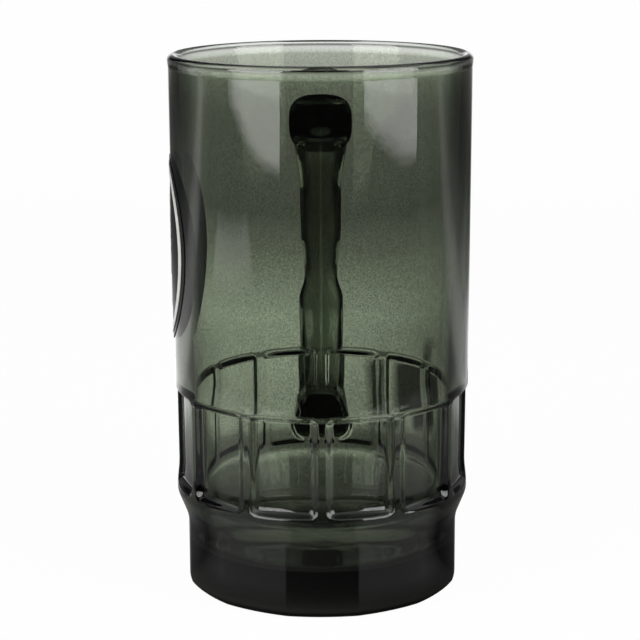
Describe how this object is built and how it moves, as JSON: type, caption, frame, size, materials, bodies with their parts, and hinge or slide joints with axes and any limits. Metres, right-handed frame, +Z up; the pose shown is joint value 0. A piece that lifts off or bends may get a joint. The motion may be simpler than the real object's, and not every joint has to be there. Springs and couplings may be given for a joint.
{
  "type": "glass beer mug",
  "caption": "Tall straight-sided smoke-glass beer mug with a band of recessed panels, a faceted thick foot, a fused loop handle and an oval enamel badge.",
  "frame": {"origin": "centre of the flat underside, on the axis of the body, where the mug stands on the table", "axes": "+Z up along the axis of the body, +Y from the axis towards the handle, +X to the right of someone who looks at the mug with its handle pointing away, so the badge is on the -X side"},
  "size_m": [0.0731, 0.1106, 0.13],
  "materials": {
    "smoke_glass": "fire-polished, smoke grey-green",
    "smoke_glass_handle": "fire-polished, smoke grey-green, thick",
    "black_enamel": "fired enamel, gloss",
    "white_enamel": "fired enamel, gloss"
  },
  "bodies": {
    "root": {"body": "smoke_glass", "handle": "smoke_glass_handle", "badge_field": "black_enamel", "badge_keyline": "white_enamel", "badge_barley_ear": "white_enamel"}
  },
  "joints": []
}
